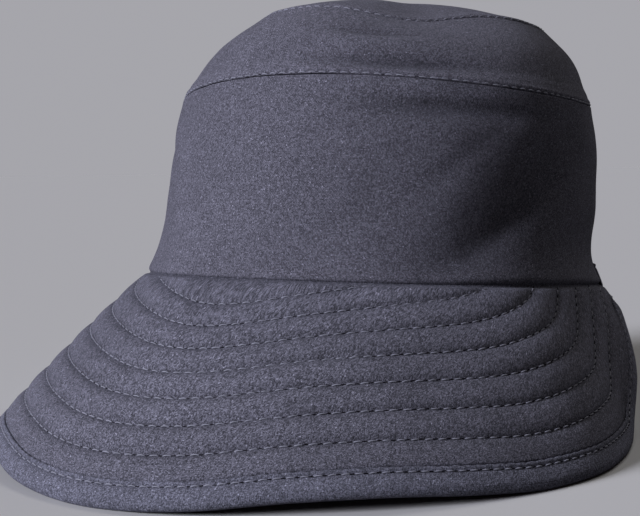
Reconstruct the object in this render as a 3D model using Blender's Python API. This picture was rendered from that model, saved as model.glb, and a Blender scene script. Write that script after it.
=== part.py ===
"""Sun cap: a panelled cloth crown over a wide, sloping, row-stitched brim.

Metres, +Z up, the front of the cap towards -Y and the wearer's left towards +X.
The cap rests on the edge of its brim, on the plane z = 0, with the origin under the
middle of its footprint. A bearing is an angle in plan about the middle of the head,
in degrees: 0 at the front, 90 at the wearer's left, 180 at the back.
A level is a height on the crown: 0 at the rim, 1 at the seam over the wall,
2 at the seam round the top and 3 at the middle of the top.
"""
import math

import bmesh
import bpy
import numpy as np

# Crown, measured on its outer face at the rim
HEAD_HALF_WIDTH = 0.086
HEAD_FRONT = 0.101
HEAD_BACK = 0.0885
RIM_HEIGHT = 0.0512
LEAN_BACK = math.radians(4.5)
WALL_HEIGHT = 0.0695
UPPER_RISE = 0.0283
TOP_DOME = 0.0105
CROWN_CLOTH = 0.001
LAP = 0.0022
# Levels over which a lapping panel stands out, then comes back in, and the levels
# over which the dents fade in above the rim
LAP_FLAT = 0.12
LAP_FADE = 0.25
PLAIN_RIM = 0.1
SEAM_BACK_RISE = 0.0022
SEAM_BOW = 0.0028
TOP_SAG = 0.0054
SAG_BEARING = 38.0
SAG_WIDTH = 22.0
FOLD_DEPTH = 0.0016

# Brim
BRIM_REACH = 0.077
BRIM_CLOTH = 0.003
BRIM_ARCH = 0.003
BRIM_END = 108.0
ROW_SPACING = 0.0102
BINDING_STITCH = 0.0067
QUILT_ROWS = 7
QUILT_DEPTH = 0.0005

# Strip folded over the outer edge of the brim
BINDING_WIDTH = 0.0085
BINDING_CLOTH = 0.0009
BINDING_PROUD = 0.0004
EDGE_RADIUS = 0.002
FOOT_ANGLE = math.radians(18.0)
FOLD_GROOVE = 0.001

# Hem along the back of the rim, between the ends of the brim
HEM_HEIGHT = 0.0075
HEM_CLOTH = 0.001

CLEARANCE = 0.0003

# Degrees between the sections of the crown and of the brim, and the fineness of
# the curve from which the stitched rows keep their distance
CROWN_STEP = 6.0
BRIM_STEP = 4.5
EDGE_STEP = 2.0
FACE_SAMPLES = 61
SHARP_ANGLE = math.radians(50.0)

# Wall rows: height, and half width, front and back as shares of the rim's own
WALL_ROWS = {
    "height": (0.0, 0.13, 0.45, 0.8, 1.0),
    "half_width": (1.0, 0.955, 0.942, 0.942, 0.934),
    "front": (1.0, 0.970, 0.926, 0.876, 0.822),
    "back": (1.0, 0.960, 0.938, 0.921, 0.859),
}
# Rows of the upper panel, over its rise, as shares of the same three sizes
UPPER_ROWS = {
    "height": (0.0, 0.66, 1.0),
    "half_width": (0.934, 0.802, 0.663),
    "front": (0.822, 0.705, 0.594),
    "back": (0.859, 0.830, 0.734),
}
# Outer edge of the brim: reach past the rim, and lift off the surface it rests
# on as a share of the rim's height
BRIM_EDGE = {
    "bearing": (0, 10, 20, 30, 40, 50, 60, 70, 77, 82, 90, 100, 110),
    "reach": (0.985, 0.95, 0.875, 0.80, 0.732, 0.665, 0.582, 0.453, 0.36, 0.3, 0.232, 0.14, 0.085),
    "lift": (0.0, 0.02, 0.07, 0.075, 0.04, 0.0, 0.0, 0.0, 0.0, 0.09, 0.34, 0.60, 0.755),
}
# Soft dents in the crown: place, half height in levels, half width in degrees,
# slant in levels for each degree, and depth as a share of FOLD_DEPTH
FOLDS = (
    {"level": 0.93, "bearing": 38, "tall": 0.05, "wide": 15, "slant": 0.0, "depth": 0.6},
    {"level": 1.22, "bearing": 30, "tall": 0.16, "wide": 17, "slant": -0.002, "depth": 0.8},
    {"level": 1.72, "bearing": 24, "tall": 0.12, "wide": 11, "slant": 0.0, "depth": 0.5},
    {"level": 0.50, "bearing": 66, "tall": 0.16, "wide": 20, "slant": 0.016, "depth": 1.0},
    {"level": 0.22, "bearing": 58, "tall": 0.12, "wide": 22, "slant": 0.012, "depth": 0.6},
    {"level": 0.60, "bearing": -70, "tall": 0.20, "wide": 22, "slant": -0.012, "depth": 0.8},
    {"level": 0.45, "bearing": 178, "tall": 0.22, "wide": 26, "slant": 0.006, "depth": 0.9},
    {"level": 1.30, "bearing": -135, "tall": 0.20, "wide": 24, "slant": 0.0, "depth": 0.7},
)

WALL_LEVELS = (0.0, 0.06, 0.13, 0.3, 0.5, 0.7, 0.85, 0.93, 1.0)
UPPER_LEVELS = (1.0, 1.12, 1.3, 1.5, 1.75, 2.0)
TOP_LEVELS = (2.0, 2.15, 2.4, 2.7, 3.0)
UP = np.array((0.0, 0.0, 1.0))

CLOTH_COLOUR = (0.088, 0.086, 0.108, 1.0)
TRIM_COLOUR = (0.100, 0.098, 0.125, 1.0)
CLOTH_ROUGHNESS = 0.85


def smooth(rows, column, key, at):
    """Read a table's column between its rows, along a curve without kinks."""
    xs = np.array(rows[key])
    ys = np.array(rows[column])
    slopes = np.gradient(ys, xs)
    i = int(np.clip(np.searchsorted(xs, at, side="right") - 1, 0, len(xs) - 2))
    span = xs[i + 1] - xs[i]
    u = min(max((at - xs[i]) / span, 0.0), 1.0)
    start = (2 * u**3 - 3 * u**2 + 1) * ys[i] + (u**3 - 2 * u**2 + u) * span * slopes[i]
    finish = (3 * u**2 - 2 * u**3) * ys[i + 1] + (u**3 - u**2) * span * slopes[i + 1]
    return start + finish


def mirrored(rows):
    """The table with its second row repeated before the first, for a level start."""
    copy = {name: (values[1],) + values for name, values in rows.items()}
    copy["bearing"] = (-rows["bearing"][1],) + rows["bearing"]
    return copy


BRIM_TABLE = mirrored(BRIM_EDGE)


def to_world(point):
    """Place a point given in the rim's own plane: tip it back and lift it."""
    x, y, z = point
    return np.array((
        x,
        y * math.cos(LEAN_BACK) + z * math.sin(LEAN_BACK),
        RIM_HEIGHT - y * math.sin(LEAN_BACK) + z * math.cos(LEAN_BACK),
    ))


def crown_size(level):
    """Half width, front and back at a level, with the height of the row."""
    if level <= 1.0:
        rows, share, bottom, rise = WALL_ROWS, level, 0.0, WALL_HEIGHT
    else:
        rows, share, bottom, rise = UPPER_ROWS, min(level, 2.0) - 1.0, WALL_HEIGHT, UPPER_RISE
    shrink = min(1.0, 3.0 - level)
    sizes = [
        smooth(rows, column, "height", share) * full * shrink
        for column, full in (
            ("half_width", HEAD_HALF_WIDTH),
            ("front", HEAD_FRONT),
            ("back", HEAD_BACK),
        )
    ]
    return sizes + [bottom + rise * share + TOP_DOME * (1.0 - shrink**2)]


def crown_base(level, bearing):
    """A point of the crown's outer face before its dents, in world space."""
    half_width, front, back, height = crown_size(level)
    turn = math.radians(bearing)
    length = front if math.cos(turn) > 0.0 else back
    near_seam = level if level <= 1.0 else max(2.0 - level, 0.0)
    height += near_seam * (SEAM_BOW * math.cos(2 * turn) - SEAM_BACK_RISE * math.cos(turn))
    near_sag = math.exp(-(((bearing + 180.0) % 360.0 - 180.0 - SAG_BEARING) / SAG_WIDTH) ** 2)
    sag = max(level - 1.0, 0.0) if level <= 2.0 else 3.0 - level
    height -= TOP_SAG * sag**2 * near_sag
    return to_world((half_width * math.sin(turn), -length * math.cos(turn), height))


def crown_normal(level, bearing):
    """Outward normal of the undented face, taken on the panel that holds the level."""
    if level >= 3.0:
        return to_world(UP) - to_world((0.0, 0.0, 0.0))
    reach = 0.01
    low = level if level in (0.0, 1.0, 2.0) else level - reach
    high = level + reach if level in (0.0, 1.0, 2.0) else level
    along = crown_base(low, bearing + 1.0) - crown_base(low, bearing - 1.0)
    rise = crown_base(high, bearing) - crown_base(low, bearing)
    normal = np.cross(along, rise)
    return normal / np.linalg.norm(normal)


def dent(level, bearing):
    """How far the soft folds push the face in."""
    total = 0.0
    for fold in FOLDS:
        turn = (bearing - fold["bearing"] + 180.0) % 360.0 - 180.0
        off = (level - fold["level"] - fold["slant"] * turn) / fold["tall"]
        total += fold["depth"] * math.exp(-(off**2) - (turn / fold["wide"]) ** 2)
    return FOLD_DEPTH * total


def crown_point(level, bearing, offset):
    """A point of the crown, moved out from its outer face by the offset."""
    rim_fade = min(level / PLAIN_RIM, 1.0)
    push = offset - dent(level, bearing) * rim_fade
    return crown_base(level, bearing) + crown_normal(level, bearing) * push


def lap_level(seam, bearing):
    """The level that lies LAP above a seam, on the panel over it."""
    step = 0.1
    rise = crown_base(seam + step, bearing) - crown_base(seam + 1e-6, bearing)
    return seam + step * LAP / np.linalg.norm(rise)


def panel_section(levels, bearing, lapped, lapping):
    """A cloth panel cut at a bearing: up its outer face and down its inner one.

    A lapped panel runs on under its upper neighbour; a lapping panel stands out
    over its lower neighbour at its first level and comes back in above it.
    """
    levels = list(levels)
    if lapped:
        levels.append(lap_level(levels[-1], bearing))
    full = CLEARANCE + CROWN_CLOTH
    outer = []
    inner = []
    for level in levels:
        above = max(level - levels[0] - LAP_FLAT, 0.0) / LAP_FADE
        out = full * max(1.0 - above, 0.0) if lapping else 0.0
        outer.append(crown_point(level, bearing, out))
        inner.append(crown_point(level, bearing, out - CROWN_CLOTH))
    return outer + inner[::-1]


def rim_normal(bearing):
    """Outward direction of the rim in plan."""
    turn = math.radians(bearing)
    length = HEAD_FRONT if math.cos(turn) > 0.0 else HEAD_BACK
    normal = np.array((length * math.sin(turn), -HEAD_HALF_WIDTH * math.cos(turn), 0.0))
    return normal / np.linalg.norm(normal)


class BrimCut:
    """The brim's face at one bearing, from the crown's rim to the rounded edge."""

    def __init__(self, bearing):
        share = smooth(BRIM_TABLE, "reach", "bearing", abs(bearing))
        lift = max(smooth(BRIM_TABLE, "lift", "bearing", abs(bearing)), 0.0)
        self.out = rim_normal(bearing)
        self.rim = crown_point(0.0, bearing, 0.0)
        self.under_wall = crown_point(0.0, bearing, -CROWN_CLOTH)
        self.start = self.rim - UP * CLEARANCE
        reach = BRIM_REACH * share - EDGE_RADIUS
        height = RIM_HEIGHT * lift + EDGE_RADIUS * math.cos(FOOT_ANGLE)
        flat_rim = np.array((self.rim[0], self.rim[1], 0.0))
        self.centre = flat_rim + self.out * reach + UP * height
        chord = self.centre - self.start
        length = np.linalg.norm(chord)
        self.arch = BRIM_ARCH * (length / math.hypot(BRIM_REACH, RIM_HEIGHT)) ** 2
        slope = math.atan2(-chord[2], np.dot(chord, self.out)) + 4.0 * self.arch / length
        self.slope = slope
        self.end_normal = self.out * math.sin(slope) + UP * math.cos(slope)
        self.finish = self.centre + self.end_normal * (EDGE_RADIUS - BINDING_PROUD)
        self.chord = self.finish - self.start
        self.length = np.linalg.norm(self.chord)
        along = self.chord / self.length
        self.across = UP * np.dot(along, self.out) - self.out * along[2]

    def face(self, share, offset):
        """A point at a share of the way down the face, moved out by the offset."""
        point = self.start + self.chord * share + self.across * (4 * self.arch * share * (1 - share))
        bend = 4.0 * self.arch / self.length * (1.0 - 2.0 * share)
        along = self.chord / self.length + self.across * bend
        along = along / np.linalg.norm(along)
        normal = UP * np.dot(along, self.out) - self.out * along[2]
        return point + normal * offset

    def fold_share(self, before):
        """Share at the binding's inner fold, or a distance before it."""
        return 1.0 - (BINDING_WIDTH - EDGE_RADIUS + before) / self.length

    def edge_point(self, angle, radius):
        """A point on a circle round the middle of the edge; angle 0 points outward."""
        return self.centre + (self.out * math.cos(angle) + UP * math.sin(angle)) * radius


def edge_curve():
    """The brim's outer edge as a row of points."""
    bearings = np.arange(-BRIM_END, BRIM_END + EDGE_STEP / 2, EDGE_STEP)
    return np.array([BrimCut(b).finish for b in bearings])


def row_shares(cut, edge):
    """Where each stitched row crosses the cut: rows keep their distance from the edge."""
    shares = np.linspace(0.0, 1.0, FACE_SAMPLES)
    points = np.array([cut.face(s, 0.0) for s in shares])
    gaps = np.linalg.norm(points[:, None, :] - edge[None, :, :], axis=2).min(axis=1)
    found = []
    for row in range(QUILT_ROWS, 0, -1):
        distance = BINDING_STITCH + row * ROW_SPACING
        inside = gaps[0] > distance
        found.append(float(np.interp(-distance, -gaps, shares)) if inside else 0.0)
    return found


def brim_section(bearing, edge):
    """Top face with a valley at each stitched row, edge, and plain under face."""
    cut = BrimCut(bearing)
    covered = BINDING_PROUD - BINDING_CLOTH - CLEARANCE
    inside_radius = EDGE_RADIUS - BINDING_CLOTH - CLEARANCE
    before_fold = cut.fold_share(CLEARANCE + FOLD_GROOVE)
    at_fold = cut.fold_share(CLEARANCE)
    section = [cut.under_wall - UP * CLEARANCE, cut.start]
    last = 0.0
    for share in row_shares(cut, edge):
        fade = min(share * cut.length / ROW_SPACING * 2.0, 1.0)
        section.append(cut.face((last + share) / 2.0, 0.0))
        section.append(cut.face(share, -QUILT_DEPTH * fade))
        last = share
    section.append(cut.face((last + before_fold) / 2.0, 0.0))
    section.append(cut.face(before_fold, 0.0))
    section.append(cut.face(at_fold, covered))
    for quarter in (1.0, 0.0, -1.0):
        section.append(cut.edge_point(quarter * math.pi / 2 - cut.slope, inside_radius))
    section.append(cut.face(at_fold, covered - 2.0 * inside_radius))
    for share in (1.0, 0.66, 0.33, 0.0):
        section.append(cut.face(before_fold * share, -BRIM_CLOTH))
    return section


def edge_angles(cut):
    """Angles round the binding's fold; two of them make the flat it rests on."""
    top = math.pi / 2 - cut.slope
    down = -math.pi / 2
    return (
        top,
        top - math.pi / 4,
        top - math.pi / 2,
        down + FOOT_ANGLE,
        down - FOOT_ANGLE,
        top - math.pi,
    )


def binding_section(bearing):
    """The strip folded over the edge: outside from top to bottom, then inside."""
    cut = BrimCut(bearing)
    fold = cut.fold_share(0.0)
    inner_radius = EDGE_RADIUS - BINDING_CLOTH
    outside = [cut.face(fold, BINDING_PROUD)]
    inside = [cut.face(fold, BINDING_PROUD - BINDING_CLOTH)]
    for angle in edge_angles(cut):
        outside.append(cut.edge_point(angle, EDGE_RADIUS))
        inside.append(cut.edge_point(angle, inner_radius))
    outside.append(cut.face(fold, BINDING_PROUD - 2.0 * EDGE_RADIUS))
    inside.append(cut.face(fold, BINDING_PROUD - 2.0 * EDGE_RADIUS + BINDING_CLOTH))
    return outside + inside[::-1]


def hem_section(bearing):
    """The hem's cloth turned up over both faces of the wall's lower edge."""
    top = HEM_HEIGHT / WALL_HEIGHT
    down = crown_base(0.0, bearing) - crown_base(0.02, bearing)
    down = down / np.linalg.norm(down)
    near = CLEARANCE
    far = CLEARANCE + HEM_CLOTH
    points = [crown_point(level, bearing, far) for level in (top, top / 2, 0.0)]
    points.append(crown_point(0.0, bearing, near) + down * far)
    points.append(crown_point(0.0, bearing, -CROWN_CLOTH - near) + down * far)
    points += [crown_point(level, bearing, -CROWN_CLOTH - far) for level in (0.0, top / 2, top)]
    points.append(crown_point(top, bearing, -CROWN_CLOTH - near))
    points.append(crown_point(top / 2, bearing, -CROWN_CLOTH - near))
    points.append(crown_point(0.0, bearing, -CROWN_CLOTH - near) + down * near)
    points.append(crown_point(0.0, bearing, near) + down * near)
    points.append(crown_point(top / 2, bearing, near))
    points.append(crown_point(top, bearing, near))
    return points


def cloth_material(name, colour):
    """A plain woven-cloth material."""
    material = bpy.data.materials.new(name)
    material.use_nodes = True
    shader = material.node_tree.nodes["Principled BSDF"]
    shader.inputs["Base Color"].default_value = colour
    shader.inputs["Roughness"].default_value = CLOTH_ROUGHNESS
    shader.inputs["Metallic"].default_value = 0.0
    material.diffuse_color = colour
    return material


def skin(name, sections, closed, material):
    """Cover a row of sections with faces; points that coincide become one vertex."""
    places = {}

    def vertex(point):
        return places.setdefault(tuple(round(float(c), 7) for c in point), len(places))

    grid = [[vertex(point) for point in section] for section in sections]
    count = len(grid[0])
    pairs = list(zip(grid, grid[1:]))
    if closed:
        pairs.append((grid[-1], grid[0]))
    faces = []
    for one, two in pairs:
        for j in range(count):
            k = (j + 1) % count
            corners = list(dict.fromkeys((one[j], one[k], two[k], two[j])))
            if len(corners) > 2:
                faces.append(corners)
    if not closed:
        faces.append(list(dict.fromkeys(grid[0])))
        faces.append(list(dict.fromkeys(grid[-1])))
    mesh = bpy.data.meshes.new(name)
    mesh.from_pydata(list(places), [], faces)
    shape = bmesh.new()
    shape.from_mesh(mesh)
    bmesh.ops.recalc_face_normals(shape, faces=shape.faces)
    shape.to_mesh(mesh)
    shape.free()
    mesh.shade_smooth()
    mesh.set_sharp_from_angle(angle=SHARP_ANGLE)
    mesh.materials.append(material)
    piece = bpy.data.objects.new(name, mesh)
    bpy.context.scene.collection.objects.link(piece)
    return piece


def make_crown(material):
    """Wall, upper panel and top, each lapped under the next."""
    bearings = np.arange(0.0, 360.0, CROWN_STEP)
    for name, levels, lapped, lapping in (
        ("side_band", WALL_LEVELS, True, False),
        ("upper_panel", UPPER_LEVELS, True, True),
        ("top_panel", TOP_LEVELS, False, True),
    ):
        sections = [panel_section(levels, b, lapped, lapping) for b in bearings]
        skin(name, sections, True, material)


def make_brim(material, trim):
    """The stitched brim and the strip round its edge."""
    bearings = np.arange(-BRIM_END, BRIM_END + BRIM_STEP / 2, BRIM_STEP)
    edge = edge_curve()
    skin("brim", [brim_section(b, edge) for b in bearings], False, material)
    skin("brim_binding", [binding_section(b) for b in bearings], False, trim)


def make_hem(trim):
    """The hem between the two ends of the brim."""
    apart = math.degrees(2.0 * CLEARANCE / HEAD_HALF_WIDTH)
    inner = np.arange(BRIM_END + CROWN_STEP, 360.0 - BRIM_END - CROWN_STEP / 2, CROWN_STEP)
    bearings = [BRIM_END + apart, *inner, 360.0 - BRIM_END - apart]
    skin("back_hem", [hem_section(b) for b in bearings], False, trim)


def centre_pieces():
    """Bring the middle of the footprint over the origin, from front to back."""
    pieces = [thing for thing in bpy.data.objects if thing.type == "MESH"]
    ends = [corner[1] for piece in pieces for corner in piece.bound_box]
    for piece in pieces:
        piece.location.y = -(min(ends) + max(ends)) / 2.0


def main():
    """Clear the scene and build the cap."""
    for thing in list(bpy.data.objects):
        bpy.data.objects.remove(thing, do_unlink=True)
    cloth = cloth_material("crown_cloth", CLOTH_COLOUR)
    trim = cloth_material("trim_cloth", TRIM_COLOUR)
    make_crown(cloth)
    make_brim(cloth, trim)
    make_hem(trim)
    centre_pieces()


main()
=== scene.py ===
"""Looks of the sun cap: sewn cloth panels, a quilted brim, its bound edge and every stitch.

Metres, +Z up, the front of the cap towards -Y. A bearing is an angle in plan about the
middle of the head, in degrees: 0 at the front, 90 at the wearer's left, 180 at the back.
A level is a height on the crown: 0 at the rim, 1 at the seam over the wall, 2 at the
seam round the top and 3 at the middle of the top.
"""

import math

import bmesh
import bpy
import numpy as np
from mathutils import Matrix, Vector, noise


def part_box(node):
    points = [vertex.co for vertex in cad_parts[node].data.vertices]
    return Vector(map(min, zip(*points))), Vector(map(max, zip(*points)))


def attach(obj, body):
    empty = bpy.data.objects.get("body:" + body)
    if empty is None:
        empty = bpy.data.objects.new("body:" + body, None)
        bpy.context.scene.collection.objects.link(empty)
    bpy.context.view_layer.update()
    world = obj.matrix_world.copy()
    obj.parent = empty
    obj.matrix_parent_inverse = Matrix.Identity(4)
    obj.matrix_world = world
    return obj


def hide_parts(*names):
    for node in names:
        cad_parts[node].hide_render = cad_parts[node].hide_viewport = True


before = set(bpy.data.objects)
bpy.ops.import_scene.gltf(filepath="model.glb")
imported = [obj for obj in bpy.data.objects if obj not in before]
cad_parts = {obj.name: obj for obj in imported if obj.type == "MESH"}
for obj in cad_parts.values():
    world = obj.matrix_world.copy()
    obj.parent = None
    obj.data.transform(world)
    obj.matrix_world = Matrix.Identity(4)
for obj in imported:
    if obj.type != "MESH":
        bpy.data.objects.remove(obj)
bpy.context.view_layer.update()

# Crown, measured on its outer face at the rim
HEAD_HALF_WIDTH = 0.086
HEAD_FRONT = 0.101
HEAD_BACK = 0.0885
RIM_HEIGHT = 0.0512
LEAN_BACK = math.radians(4.5)
WALL_HEIGHT = 0.0695
UPPER_RISE = 0.0283
TOP_DOME = 0.0105
CROWN_CLOTH = 0.001
LAP = 0.0022
UPPER_STEEPNESS = 0.7
WALL_GIRTH = 0.54
SEAM_BACK_RISE = 0.0022
SEAM_BOW = 0.0028
TOP_SAG = 0.0054
SAG_BEARING = 38.0
SAG_WIDTH = 22.0
FOLD_DEPTH = 0.0016
# Painted shade in the crown's folds: how much the colour darkens for each FOLD_DEPTH of dent, on the wall
# and on the panels above it
WALL_FOLD_SHADE = 1.1
PANEL_FOLD_SHADE = 1.8
PLAIN_RIM = 0.1
BESIDE_RIM = 0.004
# The groove between crown and brim is widest at the sides
SIDE_BEARING = 75.0
SIDE_WIDTH = 30.0

# Brim, its binding and the hem between its ends
BRIM_REACH = 0.077
BRIM_CLOTH = 0.003
BRIM_ARCH = 0.003
BRIM_END = 108.0
BRIM_STEP = 0.00125
ROW_SPACING = 0.0102
BINDING_STITCH = 0.0067
QUILT_ROWS = 7
BINDING_WIDTH = 0.0085
BINDING_CLOTH = 0.0009
BINDING_PROUD = 0.0004
EDGE_RADIUS = 0.002
BINDING_FLAT = BINDING_WIDTH - EDGE_RADIUS
HEM_HEIGHT = 0.0075
HEM_CLOTH = 0.001
HEM_STITCH = 0.0016
CLEARANCE = 0.0003

# Thread, stitches and needle holes
QUILT_PITCH = 0.0042
BINDING_PITCH = 0.0038
SEAM_PITCH = 0.0038
THREAD_RADIUS = 0.00019
STITCH_SHARE = 0.6
STITCH_ARCH = 0.0004
STITCH_SLANT = 0.06
STITCH_SEED = 17
# A needle hole is a stretched near-black bead: painted shade of the dimple that the thread pulls into the
# cloth
HOLE_RADIUS = 0.0002
HOLE_SHAPE = (4.0, 1.0, 0.7)
HOLE_PULL = 0.00022

# How high the sewn cloth puffs and how deep a stitched row pulls it in
QUILT_PUFF = 0.00065
ROW_VALLEY = 0.0005
ROW_HALF_WIDTH = 0.0009
ROW_SOFTNESS = 0.00025
ROW_ROUNDING = 0.004
ROW_START = 0.0015
UNDER_RELIEF = 0.6
LAP_STEP = 0.00015
LAP_TUCK = 0.0008
SEAM_STITCH = 0.0004
BINDING_DIP = 0.0002
BINDING_DIP_UNDER = 0.0001
# Height of the relief that sets the cloth's colour: a ridge this high counts as fully faded, and valleys
# and grooves below the face get painted shade
CROWN_RIDGE = 0.0005
BRIM_RIDGE = 0.0006
TRIM_RIDGE = 0.0004

# Place of the head's middle, read from the wall's foremost point
MIDDLE_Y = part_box("side_band")[0][1] + HEAD_FRONT * math.cos(LEAN_BACK)

# Camera and lights
CAMERA_PLACE = (0.24085, MIDDLE_Y - 0.4187, 0.09443)
CAMERA_YAW = math.radians(33.08)
CAMERA_PITCH = math.radians(-4.21)
CAMERA_ROLL = math.radians(-0.91)
CAMERA_LENS = 67.54
KEY_BEARING = -28.0
KEY_HEIGHT = 20.0
KEY_POWER = 3.4
KEY_SPREAD = 20.0
KEY_COLOUR = (0.86, 0.88, 1.0)
BACK_BEARING = 172.0
BACK_HEIGHT = 55.0
BACK_POWER = 0.55
BACK_SPREAD = 40.0
BACK_COLOUR = (1.0, 1.0, 1.0)
FILL_COLOUR = (0.014, 0.010, 0.009)
FLOOR_SHADE = (0.80, 0.79, 0.78)
FLOOR_BOUNCE = 0.25

# Cloth and thread: colours, and sizes of the weave
CROWN_COLOUR = (0.152, 0.147, 0.183)
BRIM_COLOUR = (0.182, 0.178, 0.223)
BIAS_COLOUR = (0.176, 0.176, 0.225)
THREAD_COLOUR = (0.33, 0.33, 0.40)
# Near black, without gloss: the painted shade of the needle holes
HOLE_SHADE_COLOUR = (0.012, 0.010, 0.014)
COTTON = {
    "Roughness": 0.9,
    "Specular IOR Level": 0.25,
    "Sheen Weight": 0.06,
    "Sheen Roughness": 0.5,
    "Sheen Tint": (0.75, 0.78, 1.0, 1.0),
}
WEAVE_PITCH = 0.00043
SLUB_LENGTH = 14.0
SLUB_WIDTH = 0.9
GRAIN_SCALE = 3200.0
THREAD_SHADE_SCALE = 260.0
BLOTCH_SCALE = 38.0

# The crown's oval up the wall and up the panel above it, as shares of its size at the rim
WALL_ROWS = {
    "height": (0.0, 0.13, 0.45, 0.8, 1.0),
    "half_width": (1.0, 0.955, 0.942, 0.942, 0.934),
    "front": (1.0, 0.970, 0.926, 0.876, 0.822),
    "back": (1.0, 0.960, 0.938, 0.921, 0.859),
}
UPPER_ROWS = {
    "height": (0.0, 0.66, 1.0),
    "half_width": (0.934, 0.802, 0.663),
    "front": (0.822, 0.705, 0.594),
    "back": (0.859, 0.830, 0.734),
}
# How much fuller than an oval the crown is at its front and back quarters, in metres
QUARTERS = {
    "level": (0.0, 0.15, 0.35, 0.6, 0.85, 1.0, 1.2, 1.5, 1.75, 2.0, 3.0),
    "front": (0.003, 0.0034, 0.0026, 0.0018, 0.0018, 0.0015, 0.0005, -0.001, -0.003, -0.006, 0.0),
    "back": (-0.0025, -0.002, -0.0004, 0.0, -0.0006, -0.0016, -0.0016, -0.0004, 0.0008, 0.0025, 0.0),
}
FRONT_QUARTER = 57.0
BACK_QUARTER = 118.0
QUARTER_WIDTH = 27.0
# Reach of the brim's edge in shares of BRIM_REACH, and its lift in shares of RIM_HEIGHT
BRIM_EDGE = {
    "bearing": (-10, 0, 10, 20, 30, 40, 50, 60, 70, 77, 82, 90, 100, 110),
    "reach": (0.955, 0.985, 0.955, 0.884, 0.812, 0.747, 0.68, 0.595, 0.46, 0.363, 0.3, 0.232, 0.14, 0.085),
    "lift": (0.02, 0.0, 0.02, 0.07, 0.075, 0.04, 0.0, 0.0, 0.0, 0.0, 0.09, 0.34, 0.60, 0.755),
}
# How far the stitched rows run outside their even distance from the edge, in metres
ROW_DRIFT = {
    "bearing": (-110.0, -65.0, -42.0, -20.0, 0.0, 20.0, 40.0, 55.0, 70.0, 85.0, 110.0),
    "out": (-0.0006, -0.0006, 0.0002, 0.0016, 0.0018, 0.0016, 0.0017, 0.0022, 0.0012, 0.0, 0.0),
}
# Soft dents and creases of the crown: level, bearing, half height in levels, half width
# in degrees, slant in levels for each degree, depth as a share of FOLD_DEPTH, and how
# many times taller the lower half is
FOLDS = (
    (0.87, 44, 0.036, 20, 0.0, 1.7, 1.8),
    (1.22, 30, 0.16, 17, -0.002, 0.4, 1.0),
    (1.72, 24, 0.12, 11, 0.0, 0.5, 1.0),
    (0.50, 66, 0.16, 20, 0.016, 1.0, 1.0),
    (0.22, 58, 0.12, 22, 0.012, 0.6, 1.0),
    (0.60, -70, 0.20, 22, -0.012, 0.8, 1.0),
    (0.45, 178, 0.22, 26, 0.006, 0.9, 1.0),
    (1.30, -135, 0.20, 24, 0.0, 0.7, 1.0),
    (0.73, 20, 0.04, 14, 0.003, 0.3, 1.0),
    (1.19, 33, 0.07, 20, 0.0, 1.1, 1.2),
    (1.64, 25, 0.06, 12, 0.0, 0.8, 1.0),
    (0.62, 50, 0.07, 13, 0.018, 0.25, 1.0),
    (0.36, 66, 0.08, 15, 0.015, 0.6, 1.0),
    (0.25, 22, 0.09, 11, 0.016, 0.35, 1.0),
    (0.70, -48, 0.06, 16, -0.012, 0.35, 1.0),
    (0.35, -96, 0.07, 14, 0.016, 0.6, 1.0),
    (0.75, 150, 0.07, 14, -0.014, 0.6, 1.0),
    (0.30, -150, 0.07, 16, 0.012, 0.6, 1.0),
)
UP = np.array((0.0, 0.0, 1.0))


def smooth(rows, column, key, at):
    """Read a table's column between its rows, along a curve without kinks."""
    xs = np.array(rows[key], float)
    ys = np.array(rows[column], float)
    slopes = np.gradient(ys, xs)
    i = np.clip(np.searchsorted(xs, at, side="right") - 1, 0, len(xs) - 2)
    span = xs[i + 1] - xs[i]
    u = np.clip((at - xs[i]) / span, 0.0, 1.0)
    start = (2 * u**3 - 3 * u**2 + 1) * ys[i] + (u**3 - 2 * u**2 + u) * span * slopes[i]
    finish = (3 * u**2 - 2 * u**3) * ys[i + 1] + (u**3 - u**2) * span * slopes[i + 1]
    return start + finish


def bump(distance, width):
    """A soft hill of height 1 with that half width."""
    return np.exp(-((distance / width) ** 2))


def ramp(value, start, finish):
    """0 at start, 1 at finish, eased at both ends."""
    u = np.clip((value - start) / (finish - start), 0.0, 1.0)
    return u * u * (3.0 - 2.0 * u)


def signed(bearing):
    """The same bearing between -180 and 180."""
    return (bearing + 180.0) % 360.0 - 180.0


def rounded(distance, radius, least):
    """Share of the full thickness that near to a rounded end, and no less than the least."""
    u = np.minimum(distance / radius, 1.0)
    return np.sqrt(np.clip(1.0 - (1.0 - u) ** 2, least, 1.0))


def put_in(name, data):
    """A new object in the scene."""
    made = bpy.data.objects.new(name, data)
    bpy.context.scene.collection.objects.link(made)
    return made


def unevenness(points, scale, offset=0.0):
    """Smooth noise from -1 to 1 at each point, with features about that size."""
    flat = points.reshape(-1, 3) / scale + offset
    return np.array([noise.noise(p) for p in flat.tolist()]).reshape(points.shape[:-1])


def unit(vectors):
    """The vectors at length 1."""
    return vectors / np.linalg.norm(vectors, axis=-1, keepdims=True)


def run_length(points, axis):
    """Distance walked along a grid's rows or columns, from its first line."""
    steps = np.linalg.norm(np.diff(points, axis=axis), axis=-1)
    zero = np.zeros_like(np.take(steps, [0], axis=axis))
    return np.concatenate([zero, np.cumsum(steps, axis=axis)], axis=axis)


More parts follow.
